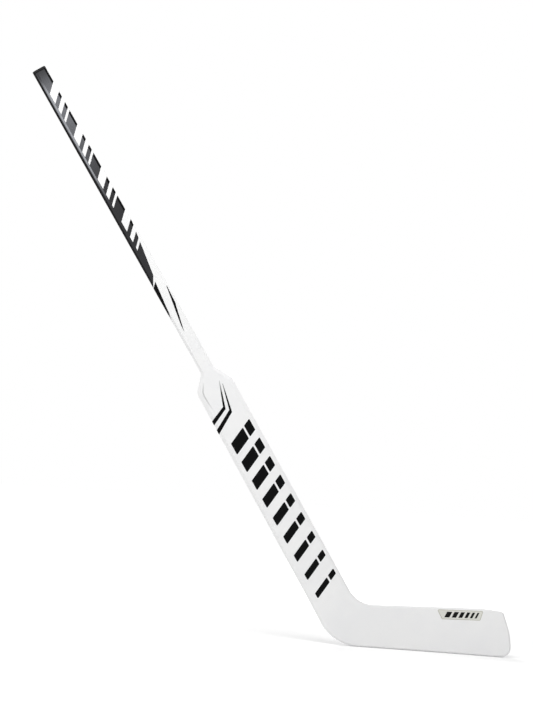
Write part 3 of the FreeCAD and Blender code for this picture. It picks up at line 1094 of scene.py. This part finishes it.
@dataclass
class Paddle:
    """Widened lower part: white skins with shoulder stripes, painted shade along the shoulder's crease and a
    ladder of slanted bars.

    Heights run along the shaft from the heel corner, offsets across from its axis, in millimetres.
    """

    reach: float = 60.0
    stripes: Tuple[Chevron, ...] = (
        Chevron((524.0, 534.0), ((-9.4, 556.4), (-6.5, 549.8)), ((11.8, 609.1), (10.4, 609.5))),
        Chevron((500.6, 511.3), ((-0.9, 544.2), (2.3, 537.6)), ((14.7, 600.0), (13.5, 600.3))),
    )
    bar_top: float = 495.0
    bar_count: int = 9
    bar_thickness: float = 27.0
    bar_thinning: float = 1.8
    bar_gap: float = 18.0
    bar_gap_growth: float = 2.0
    bar_spans: Tuple[Spot, ...] = ((-33.0, 6.0), (10.0, 27.0))
    bar_degrees: float = 25.0
    bar_corner: float = 1.5
    # Path, width and layer of the painted shade line along the shoulder's ridge.
    crease: Tuple[Spot, ...] = (
        (-20.5, 621.5), (-31.4, 604.5), (-33.2, 596.0), (-32.7, 579.0), (-30.2, 552.0)
    )
    crease_width: float = 3.0
    crease_layer: Layer = Layer(rise=0.05)

    def outside(self, face: Face) -> Keeper:
        """Test for the outer faces of one skin.

        Args:
            face: Which skin.

        Returns:
            A function of a face's centre and normal.
        """
        def keep(centre: Vector, normal: Vector) -> bool:
            """Whether the face looks out of the skin.

            Args:
                centre: Middle of the face.
                normal: Its normal.

            Returns:
                True for an outer face.
            """
            if abs(normal.y) < EDGE_SHARE:
                offset, _ = STANCE.measure(centre)
                return offset * normal.dot(STANCE.across) > 0.0
            return normal.y * face.value > 0.0
        return keep

    def build(self) -> None:
        """Dress the skins and print both sides."""
        for face in Face:
            side = face.name.lower()
            skin = f"paddle_{side}_skin"
            dress(skin, WHITE)
            keep = self.outside(face)
            stripes = Film(f"shoulder_stripes_{side}", skin, STRIPE_INK, Slot.SHAFT, keep)
            stripes.build([leg for stripe in self.stripes for leg in stripe.legs(self.reach)])
            bars = Film(f"paddle_bars_{side}", skin, BAR_INK, Slot.SHAFT, keep)
            bars.build(self._bars())
            crease = Film(f"shoulder_crease_{side}", skin, CREASE_SHADE, Slot.PADDLE, keep, self.crease_layer)
            crease.build(ribbon(self.crease, self.crease_width))

    def _bars(self) -> List[List[Spot]]:
        """Slanted bars that grow thinner towards the heel, split by a pale line.

        Returns:
            Their outlines.
        """
        slope = math.tan(math.radians(self.bar_degrees))
        outlines = []
        high = self.bar_top
        for index in range(self.bar_count):
            low = high - (self.bar_thickness - self.bar_thinning * index)
            for left, right in self.bar_spans:
                outlines.append(rounded(slanted(left, right, low, high, slope), self.bar_corner))
            high = low - self.bar_gap - self.bar_gap_growth * index
        return outlines


@dataclass
class Blade:
    """Curved blade: pale skins and a foil label near the toe, with a border and a row of bars.

    Lengths run along the sole from the heel corner, in millimetres.
    """

    length: float = 380.0
    height: float = 87.0
    toe_rise: float = 12.0
    rise_setback: float = 63.0
    label_setback: float = 66.0
    label_length: float = 98.0
    label_height: float = 20.5
    label_drop: float = 3.8
    heel_slant: float = 11.5
    toe_slant: float = 5.0
    heel_mitre: float = 1.9
    toe_mitre: float = 1.3
    border: float = 1.1
    corner: float = 2.4
    bar_widths: Tuple[float, ...] = (10.8, 9.4, 8.0, 6.6, 5.4, 4.2)
    bar_gap: float = 4.8
    bar_margin: float = 4.2
    bar_lean: float = 5.5
    foil_layer: Layer = Layer(0.02, 0.14)
    border_layer: Layer = Layer(0.16, 0.05)
    bar_layer: Layer = Layer(0.16, 0.06)

    def at(self, spot: Spot) -> Vector:
        """Point of the middle plane.

        Args:
            spot: Length from the heel and depth below the top edge.

        Returns:
            The point in metres.
        """
        length, depth = spot
        rise = self.toe_rise * length / (self.length - self.rise_setback)
        return STANCE.heel + Vector((length, 0.0, self.height + rise - depth)) * MM

    def in_front(self, centre: Vector, normal: Vector) -> bool:
        """Whether a face of the front skin looks out."""
        return normal.y < -EDGE_SHARE

    def build(self) -> None:
        """Dress the skins and lay the label."""
        for face in Face:
            dress(f"blade_{face.name.lower()}_skin", WHITE)
        foil = self._film("label_foil", FOIL, self.foil_layer).build([self._label(0.0)])
        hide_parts("toe_label")
        self._film("label_border", LABEL_EDGE, self.border_layer).build(self._border())
        self._film("label_bars", LABEL_INK, self.bar_layer).build(self._bars())

    def _film(self, name: str, finish: Finish, layer: Layer) -> Film:
        """A film on the front skin of the blade, not yet cut."""
        return Film(name, "blade_front_skin", finish, Slot.LABEL, self.in_front, layer, self.at)

    def _label(self, inset: float) -> List[Spot]:
        """Outline of the label, shorter below than above, with rounded corners.

        Args:
            inset: How far the outline lies inside the label's edge.

        Returns:
            Its points.
        """
        end = self.length - self.label_setback
        start = end - self.label_length
        top = self.label_drop + inset
        low = self.label_drop + self.label_height - inset
        corners = [
            (start + self.heel_slant + inset, low),
            (end - self.toe_slant - inset, low),
            (end - inset * self.toe_mitre, top),
            (start + inset * self.heel_mitre, top),
        ]
        return rounded(corners, self.corner - inset)

    def _border(self) -> List[List[Spot]]:
        """Short strips that run round the label's edge.

        Returns:
            Their outlines.
        """
        outer = self._label(0.0)
        inner = self._label(self.border)
        rows = zip(outer, [*outer[1:], outer[0]], [*inner[1:], inner[0]], inner)
        return [list(row) for row in rows]

    def _bars(self) -> List[List[Spot]]:
        """Leaning bars in a row, broad to narrow towards the toe.

        Returns:
            Their outlines.
        """
        lean = self.bar_lean
        top = self.label_drop + self.bar_margin
        low = self.label_drop + self.label_height - self.bar_margin
        start = self.length - self.label_setback - self.label_length + self.heel_slant + self.bar_gap
        rows = []
        for width in self.bar_widths:
            end = start + width
            rows.append([(start, low), (end, low), (end + lean, top), (start + lean, top)])
            start = end + self.bar_gap
        return rows


@dataclass
class Inside:
    """Cores, rails and strips that the skins cover."""

    def build(self) -> None:
        """Dress every hidden solid in what it is made of."""
        finishes: Dict[Finish, Tuple[str, ...]] = {
            TIMBER: ("paddle_spar", "paddle_rail_outer", "paddle_rail_inner"),
            DENSE_FOAM: ("shoulder_cheek_outer", "shoulder_cheek_inner", "heel_block", "toe_insert"),
            LIGHT_FOAM: ("paddle_core_outer", "paddle_core_inner", "blade_upper_core", "blade_lower_core"),
            FIBRE: ("blade_rib", "sole_strip", "top_strip"),
        }
        for finish, nodes in finishes.items():
            for node in nodes:
                dress(node, finish)


@dataclass
class Plug:
    """Rubber plug in the butt of the shaft."""

    def build(self) -> None:
        """Dress the plug."""
        dress("butt_plug", RUBBER)


@dataclass
class Studio:
    """White floor and world, a soft key lamp, a back lamp and the camera. Sizes are in metres."""

    aim: Triple = (-0.390, -0.0105, 0.6045)
    frame_height: float = 1.5144
    lens: float = 180.0
    sensor: float = 36.0
    roll_degrees: float = -4.1
    floor_size: float = 14.0
    floor_height: float = -0.0005
    floor_tone: Colour = (0.97, 0.97, 0.97)
    near_glow: float = 0.085
    far_glow: float = 0.50
    glow_band: Spot = (0.4, 1.8)
    ambient: float = 0.535
    room: float = 0.12
    front: float = 0.5
    front_band: Spot = (0.5, 0.95)
    back_band: Spot = (0.0, 0.3)
    lamp_size: float = 1.2
    key_power: float = 23.5
    key_place: Triple = (-0.6, -1.12, 2.0)
    back_power: float = 20.0
    back_place: Triple = (-0.9, 1.9, 1.9)

    def build(self) -> None:
        """Set up the stage."""
        self._world()
        self._floor()
        self._lamp("key_lamp", Vector(self.key_place), self.key_power)
        self._lamp("back_lamp", Vector(self.back_place), self.back_power)
        self._camera()
        bpy.context.scene.view_settings.view_transform = "Standard"

    def _world(self) -> None:
        """White behind the object and before it, a dimmer room at the sides, soft light all round."""
        world = bpy.data.worlds.new("studio_world")
        world.use_nodes = True
        bpy.context.scene.world = world
        shader = Shader(world.node_tree)
        path = shader.node("ShaderNodeLightPath", {}, {}, "Is Camera Ray")
        shown = shader.math("MINIMUM", path + path.also("Is Transmission Ray"), 1.0)
        mirrored = path.also("Is Glossy Ray")
        heading = shader.node("ShaderNodeTexCoord", {}, {}, "Generated")
        depth = shader.along(heading, THROUGH, Vector())
        front = self.front * shader.step(0.0 - depth, self.front_band)
        walls = shader.math("MAXIMUM", shader.step(depth, self.back_band), front)
        room = self.room + (1.0 - self.room) * walls
        lit = self.ambient * (1.0 - mirrored) + room * mirrored
        strength = lit * (1.0 - shown) + shown
        sockets = {"Color": opaque((1.0, 1.0, 1.0)), "Strength": strength}
        shader.surface(shader.node("ShaderNodeBackground", {}, sockets), "ShaderNodeOutputWorld")

    def _floor(self) -> None:
        """Pale floor that takes the object's shadow and glows white for the rays that show it."""
        bpy.ops.object.select_all(action="DESELECT")
        bpy.ops.mesh.primitive_plane_add(size=self.floor_size, location=(0.0, 0.0, self.floor_height))
        floor = bpy.context.active_object
        floor.name = "studio_floor"
        material = bpy.data.materials.new("studio_floor_white")
        material.use_nodes = True
        shader = Shader(material.node_tree)
        matt = shader.node("ShaderNodeBsdfDiffuse", {}, {"Color": opaque(self.floor_tone)})
        path = shader.node("ShaderNodeLightPath", {}, {}, "Is Camera Ray")
        rays = path + path.also("Is Glossy Ray") + path.also("Is Transmission Ray")
        shown = shader.math("MINIMUM", rays, 1.0)
        settings = {"operation": "LENGTH"}
        reach = shader.node("ShaderNodeVectorMath", settings, {0: shader.place()}, "Value")
        far = shader.step(reach, self.glow_band)
        strength = (self.near_glow + (self.far_glow - self.near_glow) * far) * shown
        glow = shader.node("ShaderNodeEmission", {}, {"Strength": strength})
        shader.surface(shader.node("ShaderNodeAddShader", {}, {0: matt, 1: glow}))
        floor.data.materials.append(material)

    def _lamp(self, name: str, place: Vector, power: float) -> None:
        """Soft square lamp that points at the stick.

        Args:
            name: Name of the lamp.
            place: Where it hangs.
            power: Its power in watts.
        """
        lamp = bpy.data.lights.new(name, "AREA")
        lamp.shape = "SQUARE"
        lamp.size = self.lamp_size
        lamp.energy = power
        made = bpy.data.objects.new(name, lamp)
        made.location = place
        made.rotation_euler = (Vector(self.aim) - place).to_track_quat("-Z", "Y").to_euler()
        bpy.context.collection.objects.link(made)

    def _camera(self) -> None:
        """Camera square to the paddle, rolled so that the sole slopes down to the toe."""
        camera = bpy.data.cameras.new("photo_camera")
        camera.lens = self.lens
        camera.sensor_width = self.sensor
        made = bpy.data.objects.new("photo_camera", camera)
        distance = self.frame_height * self.lens / self.sensor
        made.location = Vector(self.aim) - distance * THROUGH
        made.rotation_euler = (math.pi / 2.0, math.radians(self.roll_degrees), 0.0)
        bpy.context.collection.objects.link(made)
        bpy.context.scene.camera = made


def main() -> None:
    """Build the sub-assemblies, the studio and the camera."""
    logging.basicConfig(level=logging.INFO, format="%(name)s: %(message)s")
    for part in (Shaft(), Plug(), Paddle(), Blade(), Inside(), Studio()):
        part.build()


if __name__ == "__main__":
    main()
